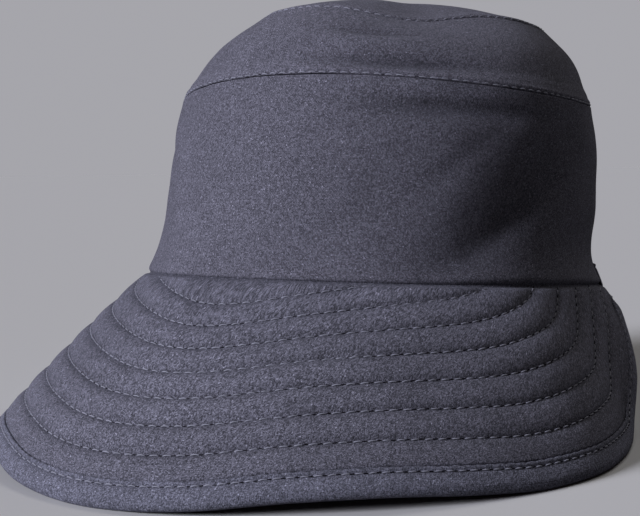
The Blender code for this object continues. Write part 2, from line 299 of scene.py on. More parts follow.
def crown_face(level, bearing, front=1.0):
    """Points of the crown's outer face before its dents; level and bearing are grids.

    Front is the share of the front quarters' fullness, which the brim's edge has none of.
    """
    turn = np.radians(bearing)
    wall = level <= 1.0
    share = np.where(wall, level, np.minimum(level, 2.0) - 1.0)
    shrink = np.minimum(1.0, 3.0 - level)
    sizes = {}
    for column, full in (
        ("half_width", HEAD_HALF_WIDTH),
        ("front", HEAD_FRONT),
        ("back", HEAD_BACK),
    ):
        low = smooth(WALL_ROWS, column, "height", share)
        high = smooth(UPPER_ROWS, column, "height", share)
        sizes[column] = np.where(wall, low, high) * full * shrink
    height = np.where(wall, WALL_HEIGHT * share, WALL_HEIGHT + UPPER_RISE * share)
    height = height + TOP_DOME * (1.0 - shrink**2)
    near_seam = np.where(wall, level, np.maximum(2.0 - level, 0.0))
    height = height + near_seam * (SEAM_BOW * np.cos(2 * turn) - SEAM_BACK_RISE * np.cos(turn))
    near_sag = bump(signed(bearing) - SAG_BEARING, SAG_WIDTH)
    sag = np.where(level <= 2.0, np.maximum(level - 1.0, 0.0), 3.0 - level)
    height = height - TOP_SAG * sag**2 * near_sag
    from_front = np.abs(signed(bearing))
    near_front = bump(from_front - FRONT_QUARTER, QUARTER_WIDTH)
    near_back = bump(from_front - BACK_QUARTER, QUARTER_WIDTH)
    fuller = front * smooth(QUARTERS, "front", "level", level) * near_front
    fuller = fuller + smooth(QUARTERS, "back", "level", level) * near_back
    length = np.where(np.cos(turn) > 0.0, sizes["front"], sizes["back"])
    y = -(length + fuller) * np.cos(turn)
    return np.stack(
        [
            (sizes["half_width"] + fuller) * np.sin(turn),
            MIDDLE_Y + y * math.cos(LEAN_BACK) + height * math.sin(LEAN_BACK),
            RIM_HEIGHT - y * math.sin(LEAN_BACK) + height * math.cos(LEAN_BACK),
        ],
        axis=-1,
    )


def crown_normal(level, bearing):
    """Outward normals of the crown, each taken on the panel that holds its level."""
    reach = 0.01
    at_seam = np.isin(level, (0.0, 1.0, 2.0))
    low = np.where(at_seam, level, level - reach)
    high = np.where(at_seam, level + reach, level)
    low = np.where(level >= 3.0, 3.0 - reach, low)
    high = np.where(level >= 3.0, 3.0 - reach / 2.0, high)
    along = crown_face(low, bearing + 1.0) - crown_face(low, bearing - 1.0)
    rise = crown_face(high, bearing) - crown_face(low, bearing)
    normal = unit(np.cross(along, rise))
    top = np.array((0.0, math.sin(LEAN_BACK), math.cos(LEAN_BACK)))
    return np.where((level >= 3.0)[..., None], top, normal)


def dents(level, bearing):
    """How far the soft folds push the crown in."""
    total = np.zeros_like(level)
    for at_level, at_bearing, tall, wide, slant, depth, under in FOLDS:
        turn = signed(bearing - at_bearing)
        off = level - at_level - slant * turn
        height = np.where(off > 0.0, tall, tall * under)
        total += depth * np.exp(-((off / height) ** 2) - (turn / wide) ** 2)
    return FOLD_DEPTH * total * np.minimum(level / PLAIN_RIM, 1.0)


def seam_pucker(points, along, away, pitch, depth, reach):
    """Ripples that a seam draws into the cloth beside it, dying out over the reach."""
    tugs = 0.5 * np.cos(2.0 * math.pi * along / pitch)
    loose = unevenness(points, 1.6 * pitch, 7.0)
    return depth * (0.35 * tugs + loose) * np.exp(-away / reach)


def crown_bearings():
    """Bearings of the crown's sections from the back seam round to it, closer beside it."""
    beside = np.arange(0.0, 3.7, 0.3)
    round_it = np.linspace(-175.5, 175.5, 391)
    return np.concatenate([beside - 180.0, round_it, 180.0 - beside[:0:-1]])


def closing(grid, closed):
    """The grid with its first row repeated after its last, for a closed ring."""
    return np.concatenate([grid, grid[:1]], axis=0) if closed else grid


def cloth_piece(name, outer, inner, ridge, closed, material):
    """A cloth shell between two grids of points, sewn shut at their edges.

    The outer and inner grids pair off point by point. The map "weave" holds metres
    along the cloth, and the attribute "ridge" says how far a point stands proud: the cloth's
    colour fades a little where it is high and gets painted shade where it is low.
    """
    loop = np.concatenate([outer, inner[:, ::-1]], axis=1)
    relief = np.concatenate([ridge, np.zeros_like(ridge)], axis=1)
    cuts, points = loop.shape[:2]
    half = outer.shape[1]
    index = np.arange(cuts * points).reshape(cuts, points)
    rows = closing(index, closed)
    one = rows[:-1]
    two = rows[1:]
    quads = np.stack([one, np.roll(one, -1, 1), np.roll(two, -1, 1), two], axis=-1)
    faces = quads.reshape(-1, 4)
    across = run_length(closing(outer, closed), 0)
    across = across - across[len(across) // 2]
    down = run_length(outer, 1).mean(axis=0) + np.zeros_like(across)
    weave = np.stack([across, down], axis=-1)
    weave = np.concatenate([weave, weave[:, ::-1]], axis=1)
    near = weave[:-1]
    far = weave[1:]
    corners = np.stack([near, np.roll(near, -1, 1), np.roll(far, -1, 1), far], axis=2)
    corners = corners.reshape(-1, 4, 2)
    if not closed:
        ends = []
        for row, flip in ((index[0], False), (index[-1], True)):
            for j in range(half - 1):
                quad = [row[j], row[j + 1], row[points - 2 - j], row[points - 1 - j]]
                ends.append(quad[::-1] if flip else quad)
        faces = np.concatenate([faces, np.array(ends)])
        corners = np.concatenate([corners, np.zeros((len(ends), 4, 2))])
    mesh = bpy.data.meshes.new(name)
    mesh.from_pydata(loop.reshape(-1, 3).tolist(), [], faces.tolist())
    layer = mesh.uv_layers.new(name="weave")
    layer.data.foreach_set("uv", corners.astype(np.float32).ravel())
    proud = mesh.attributes.new("ridge", "FLOAT", "POINT")
    proud.data.foreach_set("value", relief.astype(np.float32).ravel())
    shape = bmesh.new()
    shape.from_mesh(mesh)
    bmesh.ops.remove_doubles(shape, verts=shape.verts, dist=1e-7)
    bmesh.ops.recalc_face_normals(shape, faces=shape.faces)
    shape.to_mesh(mesh)
    shape.free()
    mesh.shade_smooth()
    mesh.materials.append(material)
    return put_in(name, mesh)


def crown_panel(bearings, levels, lowest=0.0):
    """Grids over a panel of the crown, from the first of its levels to the last.

    They hold levels, bearings, points, normals, and distances across and along the panel.
    Below the lowest level the normals stay as they are there.
    """
    level, bearing = np.meshgrid(levels, bearings)
    points = crown_face(level, bearing)
    normals = crown_normal(np.maximum(level, lowest), bearing)
    above = run_length(points, 1)
    along = run_length(points[:, :1], 0) + np.zeros_like(above)
    return level, bearing, points, normals, above, along


def lap_level(seam):
    """The level that lies about LAP above a seam."""
    rise = WALL_HEIGHT if seam < 1.0 else UPPER_RISE / UPPER_STEEPNESS
    return seam + LAP / rise


def lap_tuck(above_seam):
    """How far the cloth under a lap is pushed in."""
    return LAP_TUCK * ramp(above_seam, -0.0006, -0.00005)


def make_side_band(material):
    """The wall: one strip of cloth, joined at the back and rolled under at the rim."""
    bearings = crown_bearings()
    near_rim = np.array((0.0, 0.003, 0.007, 0.012, 0.02, 0.03))
    levels = np.concatenate([near_rim, np.linspace(0.043, 0.983, 54)])
    levels = np.append(levels, (0.988, 0.992, 0.995, 0.998, 1.0, 1.015, lap_level(1.0)))
    level, bearing, points, normals, above, along = crown_panel(bearings, levels)
    side = bump(np.abs(signed(bearing)) - SIDE_BEARING, SIDE_WIDTH)
    roll_depth = 0.0005 + 0.0013 * side
    roll_height = 0.0008 + 0.0020 * side
    roll = -roll_depth * np.clip(1.0 - above / roll_height, 0.0, 1.0) ** 2
    proud = 0.00012 * bump(above - 0.0022, 0.0016)
    below_seam = WALL_HEIGHT * (1.0 - level)
    pulled = -lap_tuck(-below_seam)
    below_seam = np.maximum(below_seam, 0.0)
    ripple = seam_pucker(points, along, below_seam, SEAM_PITCH, 0.0002, 0.004)
    ripple += seam_pucker(points, along, above, 0.006, 0.00015, 0.005)
    from_back = (180.0 - np.abs(bearing)) / 360.0 * WALL_GIRTH
    seam = -0.0006 * bump(from_back, 0.0006) + 0.0003 * bump(from_back - 0.0022, 0.0014)
    slack = 0.0005 * unevenness(points, 0.03) + 0.00012 * unevenness(points, 0.009)
    folds = dents(level, bearing)
    push = roll + proud + pulled + ripple + seam + slack * ramp(above, 0.002, 0.016)
    push = push - folds
    outer = points + normals * push[..., None]
    inner = points + normals * (push - CROWN_CLOTH)[..., None]
    # Painted shade: the rim's groove, the lap under the seam, the back seam and the folds darken the
    # cloth's colour
    ridge = (ripple + seam + roll + pulled) / CROWN_RIDGE - WALL_FOLD_SHADE * folds / FOLD_DEPTH
    piece = cloth_piece("wall_cloth", outer, inner, ridge, True, material)
    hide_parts("side_band")
    return piece


def lapped_edge(above):
    """Relief of a folded edge that laps over a seam: stitched groove, ridge, seam turning."""
    groove = -0.0003 * bump(above - SEAM_STITCH, 0.0004)
    ridge = 0.0003 * bump(above - 0.0017, 0.0008)
    turning = 0.00025 * bump(above - 0.0045, 0.0020)
    return groove + ridge + turning


def lapping_panel(name, node, seam, levels, material):
    """A crown panel whose folded lower edge lies over the panel below it.

    Also the path of the stitches along that edge: its points and outward directions.
    """
    bearings = crown_bearings()
    level, bearing, points, normals, above, along = crown_panel(bearings, levels)
    out = LAP_STEP * (1.0 - ramp(level, seam + 0.12, seam + 0.4))
    if seam < 2.0:
        at_top = int(np.argmin(np.abs(levels - seam - 1.0)))
        out = out - lap_tuck(above - above[:, at_top : at_top + 1])
    relief = lapped_edge(above)
    round_edge = rounded(above, 0.0005, 0.0)
    ripple = seam_pucker(points, along, np.abs(above - SEAM_STITCH), SEAM_PITCH, 0.0002, 0.003)
    slack = 0.0004 * unevenness(points, 0.028, 3.0) + 0.0001 * unevenness(points, 0.008, 5.0)
    folds = dents(level, bearing)
    body = out + ripple + slack * ramp(above, 0.0, 0.01) - folds
    fade = np.minimum(1.0, (3.0 - level) / 0.1)
    body = np.where(level > 2.9, body * fade, body)
    middle = body - CROWN_CLOTH / 2.0
    half = CROWN_CLOTH / 2.0 * np.maximum(round_edge, 0.05)
    outer = points + normals * (middle + half + relief * round_edge)[..., None]
    inner = points + normals * (middle - half)[..., None]
    # Painted shade: the stitched groove along the lap and the folds darken the cloth's colour
    ridge = (ripple + relief) / CROWN_RIDGE - PANEL_FOLD_SHADE * folds / FOLD_DEPTH
    piece = cloth_piece(name, outer, inner, ridge, True, material)
    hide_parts(node)
    column = int(np.argmin(np.abs(above.mean(axis=0) - SEAM_STITCH)))
    push = (body + relief)[:, column] + THREAD_RADIUS
    line = points[:, column] + normals[:, column] * push[:, None]
    return piece, (closing(line, True), closing(normals[:, column], True))


class Brim:
    """The brim's face at every bearing, from the crown's rim to its rounded edge."""

    def __init__(self, spacing):
        fine = np.linspace(-BRIM_END, BRIM_END, 1201)
        walked = run_length(self.edge_plan(fine), 0)
        count = int(round(walked[-1] / spacing))
        self.bearing = np.interp(np.linspace(0.0, walked[-1], count + 1), walked, fine)
        self.along = np.interp(self.bearing, fine, walked)
        self.centre, self.slope, self.start, self.arch = self.cut_lines(self.bearing)
        self.out = self.outward(self.bearing)
        normal = self.out * np.sin(self.slope)[:, None] + UP * np.cos(self.slope)[:, None]
        self.edge = self.centre + normal * (EDGE_RADIUS - BINDING_PROUD)
        self.chord = self.edge - self.start
        self.length = np.linalg.norm(self.chord, axis=1)
        along = self.chord / self.length[:, None]
        self.across = UP * (along * self.out).sum(1)[:, None] - self.out * along[:, 2:3]
        self.steps = np.linspace(0.0, 1.0, 161)
        on_face = np.zeros((len(self.out), len(self.steps)))
        self.gaps = self.to_edge(self.face(self.steps[None, :], on_face))

    def outward(self, bearing):
        """Outward direction of the rim in plan."""
        turn = np.radians(bearing)
        length = np.where(np.cos(turn) > 0.0, HEAD_FRONT, HEAD_BACK)
        x = length * np.sin(turn)
        y = -HEAD_HALF_WIDTH * np.cos(turn)
        return unit(np.stack([x, y, np.zeros_like(x)], axis=-1))

    def cut_lines(self, bearing):
        """Middle of the rounded edge, slope there, start at the rim, and arch."""
        share = smooth(BRIM_EDGE, "reach", "bearing", np.abs(bearing))
        lift = np.maximum(smooth(BRIM_EDGE, "lift", "bearing", np.abs(bearing)), 0.0)
        rim = crown_face(np.zeros_like(bearing), bearing)
        oval = crown_face(np.zeros_like(bearing), bearing, 0.0)
        out = self.outward(bearing)
        height = RIM_HEIGHT * lift + EDGE_RADIUS
        centre = oval * (1.0, 1.0, 0.0) + out * (BRIM_REACH * share - EDGE_RADIUS)[:, None]
        centre[:, 2] = height
        start = rim - UP * CLEARANCE
        chord = centre - start
        length = np.linalg.norm(chord, axis=1)
        arch = BRIM_ARCH * (length / math.hypot(BRIM_REACH, RIM_HEIGHT)) ** 2
        slope = np.arctan2(-chord[:, 2], (chord * out).sum(1)) + 4.0 * arch / length
        return centre, slope, start, arch

    def edge_plan(self, bearing):
        """The middle line of the rounded edge."""
        return self.cut_lines(bearing)[0]

    def face(self, share, offset):
        """Points at shares of the way down the face, moved out by the offsets."""
        share = np.broadcast_to(share, offset.shape)
        rise = (4.0 * self.arch[:, None] * share * (1.0 - share))[..., None]
        point = self.start[:, None] + self.chord[:, None] * share[..., None]
        point = point + self.across[:, None] * rise
        bend = (4.0 * self.arch / self.length)[:, None] * (1.0 - 2.0 * share)
        along = (self.chord / self.length[:, None])[:, None] + self.across[:, None] * bend[..., None]
        along = unit(along)
        forward = (along * self.out[:, None]).sum(-1)[..., None]
        normal = UP * forward - self.out[:, None] * along[..., 2:3]
        return point + normal * offset[..., None]

    def to_edge(self, points):
        """Distance of each point from the edge, eased so that rows turn no sharp corner."""
        spacing = self.along[1] - self.along[0]
        widest = 0.15
        deepest = 0.11
        beside = np.arange(-widest, widest, spacing)
        straight = np.linspace(0.0, deepest, 111)
        spread = np.hypot(straight[:, None], beside[None, :]) - straight[:, None]
        usual = np.exp(-spread / ROW_ROUNDING).sum(axis=1)
        gaps = np.empty(points.shape[:2])
        drift = smooth(ROW_DRIFT, "out", "bearing", self.bearing)
        for i, row in enumerate(points):
            away = np.linalg.norm(row[:, None] - self.edge[None], axis=2)
            nearest = away.min(axis=1)
            total = np.exp(-(away - nearest[:, None]) / ROW_ROUNDING).sum(axis=1)
            even = np.interp(nearest, straight, usual)
            gaps[i] = nearest + drift[i] - ROW_ROUNDING * np.log(total / even)
        return gaps

    def shares_at(self, distances):
        """Share of the way down each cut at which it comes that near to the edge."""
        return np.array([np.interp(-distances, -row, self.steps) for row in self.gaps])

    def row_share(self, row):
        """Share of the way down each cut at which a stitched row lies; row 0 is the binding's."""
        return self.shares_at(np.array((BINDING_STITCH + row * ROW_SPACING,)))

    def stitch_line(self, share, depth, side):
        """Points and outward directions of stitches on the upper face (side 1) or lower (-1)."""
        offset = np.full((len(self.out), 1), depth + side * THREAD_RADIUS)
        points = self.face(share, offset)[:, 0]
        above = self.face(share, offset + side * 0.001)[:, 0]
        return points, unit(above - points)


def stitch_counts(brim):
    """How many stitches lie before each cut, for every row from the edge inwards."""
    counts = []
    for row in range(QUILT_ROWS + 1):
        share = brim.row_share(row)
        walked = run_length(brim.face(share, np.zeros(share.shape))[:, 0], 0)
        first = walked[np.argmax(share[:, 0] * brim.length > ROW_START)]
        counts.append((walked - first) / QUILT_PITCH)
    return np.stack(counts, axis=1)


def quilt_relief(gap, points, counts):
    """Puffed channels between the stitched rows, and the cloth pulled in along them."""
    order = (gap - BINDING_STITCH) / ROW_SPACING
    nearest = np.clip(np.round(order), 0, QUILT_ROWS).astype(int)
    off = np.minimum(np.abs(order - nearest) * ROW_SPACING, ROW_SPACING / 2.0)
    count = np.take_along_axis(counts, nearest, axis=1)
    side = (order - nearest) * ROW_SPACING
    holes = 0.5 - 0.5 * np.cos(2.0 * math.pi * (count + side / 0.004))
    puff = QUILT_PUFF * (1.0 - (1.0 - off / (ROW_SPACING / 2.0)) ** 2)
    valley = ROW_VALLEY * np.exp(-np.sqrt(off**2 + ROW_SOFTNESS**2) / ROW_HALF_WIDTH)
    pull = HOLE_PULL * holes * np.exp(-off / 0.0013)
    crumple = 0.00013 * unevenness(points, 0.0036, 11.0) * np.exp(-off / 0.0025)
    slack = 0.00022 * unevenness(points, 0.022, 2.0)
    return puff - valley - pull + crumple + slack


def end_taper(brim):
    """Share of the full thickness at each cut: the two ends are rounded off."""
    from_end = np.minimum(brim.along, brim.along[-1] - brim.along)
    return rounded(from_end, 0.003, 0.02)


def make_brim(brim, material):
    """The quilted brim, with its stitched rows drawn in on both faces.

    Its inner edge is turned up behind the wall, as the seam's allowance is.
    """
    near_row = np.array((-0.0042, -0.0032, -0.0022, -0.0014, -0.0008, -0.00035, 0.0))
    near_row = np.concatenate([near_row, -near_row[:-1][::-1], (ROW_SPACING / 2.0,)])
    rows = BINDING_STITCH + ROW_SPACING * np.arange(QUILT_ROWS, 0, -1)
    far = rows[0] + 0.0051 * np.arange(4, 1, -1)
    distances = np.concatenate([far, np.sort((rows[:, None] + near_row).ravel())[::-1]])
    inner_shares = brim.shares_at(distances)
    beside = (0.0012, 0.0007, 0.0004, 0.0002, 0.0, -0.0003, -0.001, -0.003, -0.005, -BINDING_FLAT)
    beside = BINDING_FLAT + np.array(beside)
    shares = np.concatenate([inner_shares, 1.0 - beside[None, :] / brim.length[:, None]], axis=1)
    shares = np.concatenate([np.zeros((len(shares), 1)), shares], axis=1)
    for step, walk in ((1, 0.0004), (2, 0.0008), (3, 0.0013), (4, 0.0022)):
        shares[:, step] = np.maximum(shares[:, step], walk / brim.length)
    shares = np.maximum.accumulate(shares, axis=1)
    flat = brim.face(shares, np.zeros(shares.shape))
    gap = brim.to_edge(flat)
    from_rim = shares * brim.length[:, None]
    from_edge = (1.0 - shares) * brim.length[:, None]
    under_binding = ramp(from_edge, BINDING_FLAT + 0.0003, BINDING_FLAT - 0.0003)
    at_side = bump(np.abs(brim.bearing) - SIDE_BEARING, SIDE_WIDTH)[:, None]
    groove_width = 0.0014 + 0.0008 * at_side
    at_rim = (1.0 + 1.2 * at_side) * np.clip(1.0 - from_rim / groove_width, 0.0, 1.0) ** 2
    fade = ramp(from_rim, 0.0, 0.003) * (1.0 - under_binding)
    counts = stitch_counts(brim)
    relief = quilt_relief(gap, flat, counts) * fade
    top = relief - 0.0005 * at_rim - 0.0009 * under_binding
    below = quilt_relief(gap, flat + 0.05, counts) * fade * UNDER_RELIEF
    bottom = -BRIM_CLOTH - below + 0.0006 * under_binding
    taper = end_taper(brim)[:, None]
    middle = (top + bottom) / 2.0
    outer = brim.face(shares, middle + (top - middle) * taper)
    inner = brim.face(shares, middle + (bottom - middle) * taper)
    turned_up = (0.10, 0.06, 0.03, 0.012, 0.002)
    wall, across = crown_panel(brim.bearing, turned_up, BESIDE_RIM)[2:4]
    wall_side = wall - across * (CROWN_CLOTH + CLEARANCE)
    head_side = wall - across * (CROWN_CLOTH + CLEARANCE + 0.0008)
    outer = np.concatenate([wall_side, outer], axis=1)
    inner = np.concatenate([head_side, inner], axis=1)
    hidden = np.full(wall.shape[:2], -1.0)
    # Painted shade: the quilted valleys, the groove at the rim and the turned-up edge behind the wall
    # darken the cloth's colour
    ridge = np.concatenate([hidden, (relief - QUILT_PUFF - 0.0005 * at_rim) / BRIM_RIDGE], axis=1)
    piece = cloth_piece("brim_cloth", outer, inner, ridge, False, material)
    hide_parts("brim")
    return piece


def binding_path():
    """Steps down the strip from its upper fold, and angles round the brim's edge."""
    steps = np.concatenate([np.array((0.0, 0.0001, 0.0003)), np.linspace(0.0006, BINDING_FLAT, 15)])
    angles = np.linspace(0.0, math.pi, 15)[1:-1]
    return steps, angles


def binding_layer(brim, steps, angles, top, round_push, bottom, wave):
    """Points of one layer of the strip: down the top, round the edge, back below."""
    fold = 1.0 - (BINDING_FLAT + wave)[:, None] / brim.length[:, None]
    share_top = fold + (1.0 - fold) * (steps / BINDING_FLAT)[None, :]
    upper = brim.face(share_top, top)
    turned = math.pi / 2.0 - brim.slope[:, None] - angles[None, :]
    radius = EDGE_RADIUS + round_push
    ring = brim.centre[:, None] + brim.out[:, None] * (np.cos(turned) * radius)[..., None]
    ring = ring + UP * (np.sin(turned) * radius)[..., None]
    lower = brim.face(share_top[:, ::-1], bottom)
    return np.concatenate([upper, ring, lower], axis=1)


def make_binding(brim, material):
    """The bias strip folded over the brim's edge, puckered by its row of stitches."""
    steps, angles = binding_path()
    cuts = len(brim.out)
    walked = brim.along[:, None]
    tugs = np.cos(2.0 * math.pi * walked / BINDING_PITCH)
    from_stitch = steps[None, :] - (BINDING_WIDTH - BINDING_STITCH)
    lip = 0.00012 * bump(steps[None, :] - 0.0008, 0.0007)
    valley = -(0.0004 + 0.00012 * tugs) * bump(from_stitch, 0.0006)
    puff = 0.00025 * bump(steps[None, :] - BINDING_FLAT * 0.75, 0.0022)
    spots = brim.face(1.0 - steps[None, ::-1] / BINDING_FLAT * 0.1, np.zeros((cuts, len(steps))))
    crumple = 0.00014 * unevenness(spots, 0.0035, 21.0) * np.exp(-np.abs(from_stitch) / 0.003)
    relief = lip + valley + puff + crumple
    closed_fold = rounded(steps, 0.0006, 0.0025)
    taper = end_taper(brim)[:, None]
    middle = BINDING_PROUD - BINDING_CLOTH / 2.0
    half = BINDING_CLOTH / 2.0 * closed_fold[None, :]
    wave = 0.00018 * tugs[:, 0] + 0.00025 * unevenness(brim.edge, 0.006, 31.0)
    mid_plane = BINDING_PROUD - EDGE_RADIUS
    top_out = mid_plane + (middle + half + relief * closed_fold - mid_plane) * taper
    top_in = mid_plane + (middle - half - mid_plane) * taper
    shallow = mid_plane + (middle + half + 0.5 * relief * closed_fold - mid_plane) * taper
    low_out = 2.0 * mid_plane - shallow
    low_in = 2.0 * mid_plane - top_in
    edge_slack = 0.00008 * unevenness(brim.edge, 0.008, 41.0)[:, None] + np.zeros((1, len(angles)))
    ring_out = edge_slack - EDGE_RADIUS * (1.0 - taper) * 0.5
    ring_in = -BINDING_CLOTH * taper + edge_slack - EDGE_RADIUS * (1.0 - taper) * 0.5
    outer = binding_layer(brim, steps, angles, top_out, ring_out, low_out[:, ::-1], wave)
    inner = binding_layer(brim, steps, angles, top_in, ring_in, low_in[:, ::-1], wave)
    outer[..., 2] = np.maximum(outer[..., 2], 0.0)
    inner[..., 2] = np.maximum(inner[..., 2], BINDING_CLOTH / 2.0)
    ridge = np.zeros(outer.shape[:2])
    # Painted shade: the valley along the stitches darkens the strip's colour
    ridge[:, : len(steps)] = relief / TRIM_RIDGE
    piece = cloth_piece("binding_strip", outer, inner, ridge, False, material)
    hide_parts("brim_binding")
    return piece


def make_hem(material):
    """The hem turned up over both faces of the wall's lower edge at the back."""
    apart = math.degrees(2.0 * CLEARANCE / HEAD_HALF_WIDTH)
    ends = BRIM_END + apart + np.array((0.0, 0.06, 0.15, 0.3, 0.55, 0.9))
    bearings = np.concatenate([ends, np.linspace(110.0, 250.0, 181), 360.0 - ends[::-1]])
    top = HEM_HEIGHT / WALL_HEIGHT
    levels = np.linspace(top, 0.0, 16)
    points, normals, depth, along = crown_panel(bearings, levels, BESIDE_RIM)[2:]
    stitch = depth - HEM_STITCH
    lip = 0.00025 * bump(depth - 0.0006, 0.0006)
    valley = -0.0003 * bump(stitch, 0.0005)
    ripple = seam_pucker(points, along, np.abs(stitch), SEAM_PITCH, 0.00018, 0.003)
    near = 0.00012
    far = near + HEM_CLOTH * 0.5
    pressed = rounded(np.minimum(along, along[-1:] - along), 0.0015, 0.01)
    edge = rounded(depth, 0.0006, 0.0025) * pressed
    flat_end = 0.00006
    middle = flat_end + ((near + far) / 2.0 - flat_end) * pressed
    half = (far - near) / 2.0 * edge
    relief = (lip + valley + ripple) * edge
    out_far = points + normals * (middle + half + relief)[..., None]
    out_near = points + normals * (middle - half)[..., None]
    wall_middle = points + normals * (-CROWN_CLOTH / 2.0)
    in_far = wall_middle - normals * (CROWN_CLOTH / 2.0 + middle + half - relief * 0.5)[..., None]
    in_near = wall_middle - normals * (CROWN_CLOTH / 2.0 + middle - half)[..., None]
    down = unit(points[:, -1] - points[:, -2])
    across = normals[:, -1]
    centre = wall_middle[:, -1] + down * CLEARANCE
    angles = np.linspace(0.0, math.pi, 11)[1:-1]
    layers = []
    for away, drop, first, last in ((far, 0.0016, out_far, in_far), (near, 0.0006, out_near, in_near)):
        reach = CROWN_CLOTH / 2.0 + away
        ring = [centre + across * math.cos(a) * reach + down * math.sin(a) * drop for a in angles]
        layers.append(np.concatenate([first, np.stack(ring, 1), last[:, ::-1]], axis=1))
    outer, inner = layers
    ridge = np.zeros(outer.shape[:2])
    # Painted shade: the valley along the stitches darkens the hem's colour
    ridge[:, : len(levels)] = relief / TRIM_RIDGE
    piece = cloth_piece("hem_strip", outer, inner, ridge, False, material)
    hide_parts("back_hem")
    return piece


def feed(tree, node, inputs):
    """Give inputs of a node a value or another node's output."""
    for socket, given in inputs.items():
        if isinstance(given, bpy.types.NodeSocket):
            tree.links.new(given, node.inputs[socket])
        else:
            node.inputs[socket].default_value = given


def add_node(tree, kind, inputs, **settings):
    """Add a node with those inputs and settings, and return its outputs."""
    node = tree.nodes.new(kind)
    for name, setting in settings.items():
        setattr(node, name, setting)
    feed(tree, node, inputs)
    return node.outputs


def reckon(tree, operation, *terms):
    """The result of an operation on outputs and numbers."""
    return add_node(tree, "ShaderNodeMath", dict(enumerate(terms)), operation=operation)["Value"]


def stitch_tree(thread, hole_shade):
    """Geometry nodes that lay an arched stitch and a needle hole, a dark bead of painted shade, at each
    step of a path.
    """
    tree = bpy.data.node_groups.new("stitch_row", "GeometryNodeTree")
    face = tree.interface
    face.new_socket("Path", in_out="INPUT", socket_type="NodeSocketGeometry")
    sizes = {}
    for name, value in (
        ("Pitch", QUILT_PITCH),
        ("Stitch Length", QUILT_PITCH * STITCH_SHARE),
        ("Thread Radius", THREAD_RADIUS),
        ("Hole Radius", HOLE_RADIUS),
        ("Arch", STITCH_ARCH),
        ("Slant", STITCH_SLANT),
    ):
        socket = face.new_socket(name, in_out="INPUT", socket_type="NodeSocketFloat")
        socket.default_value = value
        sizes[name] = socket.identifier
    face.new_socket("Stitches", in_out="OUTPUT", socket_type="NodeSocketGeometry")
    given = add_node(tree, "NodeGroupInput", {})

    # A point at each stitch, turned to stand on the cloth and run along the path
    path = add_node(tree, "GeometryNodeMeshToCurve", {"Mesh": given["Path"]})["Curve"]
    spacing = {"Curve": path, "Length": given["Pitch"]}
    steps = add_node(tree, "GeometryNodeResampleCurve", spacing, mode="LENGTH")["Curve"]
    facing = {"Name": "outward"}
    outward = add_node(tree, "GeometryNodeInputNamedAttribute", facing, data_type="FLOAT_VECTOR")
    upright = {"Vector": outward["Attribute"]}
    stand = add_node(tree, "FunctionNodeAlignRotationToVector", upright, axis="Z")["Rotation"]
    tangent = add_node(tree, "GeometryNodeInputTangent", {})["Tangent"]
    ahead = {"Rotation": stand, "Vector": tangent}
    turn = add_node(tree, "FunctionNodeAlignRotationToVector", ahead, axis="X", pivot_axis="Z")

    # Each stitch is a little askew
    low = reckon(tree, "MULTIPLY", given["Slant"], -1.0)
    limits = {2: low, 3: given["Slant"], "Seed": STITCH_SEED}
    chance = add_node(tree, "FunctionNodeRandomValue", limits, data_type="FLOAT")[1]
    askew = add_node(tree, "ShaderNodeCombineXYZ", {"Z": chance})["Vector"]
    to_turn = add_node(tree, "FunctionNodeEulerToRotation", {"Euler": askew})["Rotation"]
    both = {"Rotation": turn["Rotation"], "Rotate By": to_turn}
    turned = add_node(tree, "FunctionNodeRotateRotation", both, rotation_space="LOCAL")["Rotation"]

    # The thread arches up between two ends sunk into the cloth
    sink = reckon(tree, "MULTIPLY", given["Thread Radius"], -1.7)
    ends = []
    for share in (-0.5, 0.5):
        along = reckon(tree, "MULTIPLY", given["Stitch Length"], share)
        ends.append(add_node(tree, "ShaderNodeCombineXYZ", {"X": along, "Z": sink})["Vector"])
    crest = add_node(tree, "ShaderNodeCombineXYZ", {"Z": given["Arch"]})["Vector"]
    bend = {"Start": ends[0], "Middle": crest, "End": ends[1], "Resolution": 7}
    arc = add_node(tree, "GeometryNodeCurveQuadraticBezier", bend)["Curve"]
    round_it = {"Resolution": 6, "Radius": given["Thread Radius"]}
    ring = add_node(tree, "GeometryNodeCurvePrimitiveCircle", round_it, mode="RADIUS")["Curve"]
    sweep = {"Curve": arc, "Profile Curve": ring, "Fill Caps": True}
    stitch = add_node(tree, "GeometryNodeCurveToMesh", sweep)["Mesh"]

    # The needle hole, a stretched dark bead of painted shade, lies half way to the next stitch
    ball = {"Subdivisions": 1, "Radius": given["Hole Radius"]}
    bead = add_node(tree, "GeometryNodeMeshIcoSphere", ball)["Mesh"]
    between = reckon(tree, "MULTIPLY", given["Pitch"], 0.5)
    spot = add_node(tree, "ShaderNodeCombineXYZ", {"X": between, "Z": sink})["Vector"]
    stretched = {"Geometry": bead, "Translation": spot, "Scale": HOLE_SHAPE}
    hole = add_node(tree, "GeometryNodeTransform", stretched)["Geometry"]

    finished = []
    for shape, material in ((stitch, thread), (hole, hole_shade)):
        placing = {"Points": steps, "Instance": shape, "Rotation": turned}
        laid = add_node(tree, "GeometryNodeInstanceOnPoints", placing)["Instances"]
        real = add_node(tree, "GeometryNodeRealizeInstances", {"Geometry": laid})["Geometry"]
        painted = add_node(tree, "GeometryNodeSetMaterial", {"Geometry": real, "Material": material})
        finished.append(painted["Geometry"])
    join = tree.nodes.new("GeometryNodeJoinGeometry")
    for geometry in finished:
        feed(tree, join, {"Geometry": geometry})
    finish = tree.nodes.new("NodeGroupOutput")
    feed(tree, finish, {"Stitches": join.outputs["Geometry"]})
    return tree, sizes


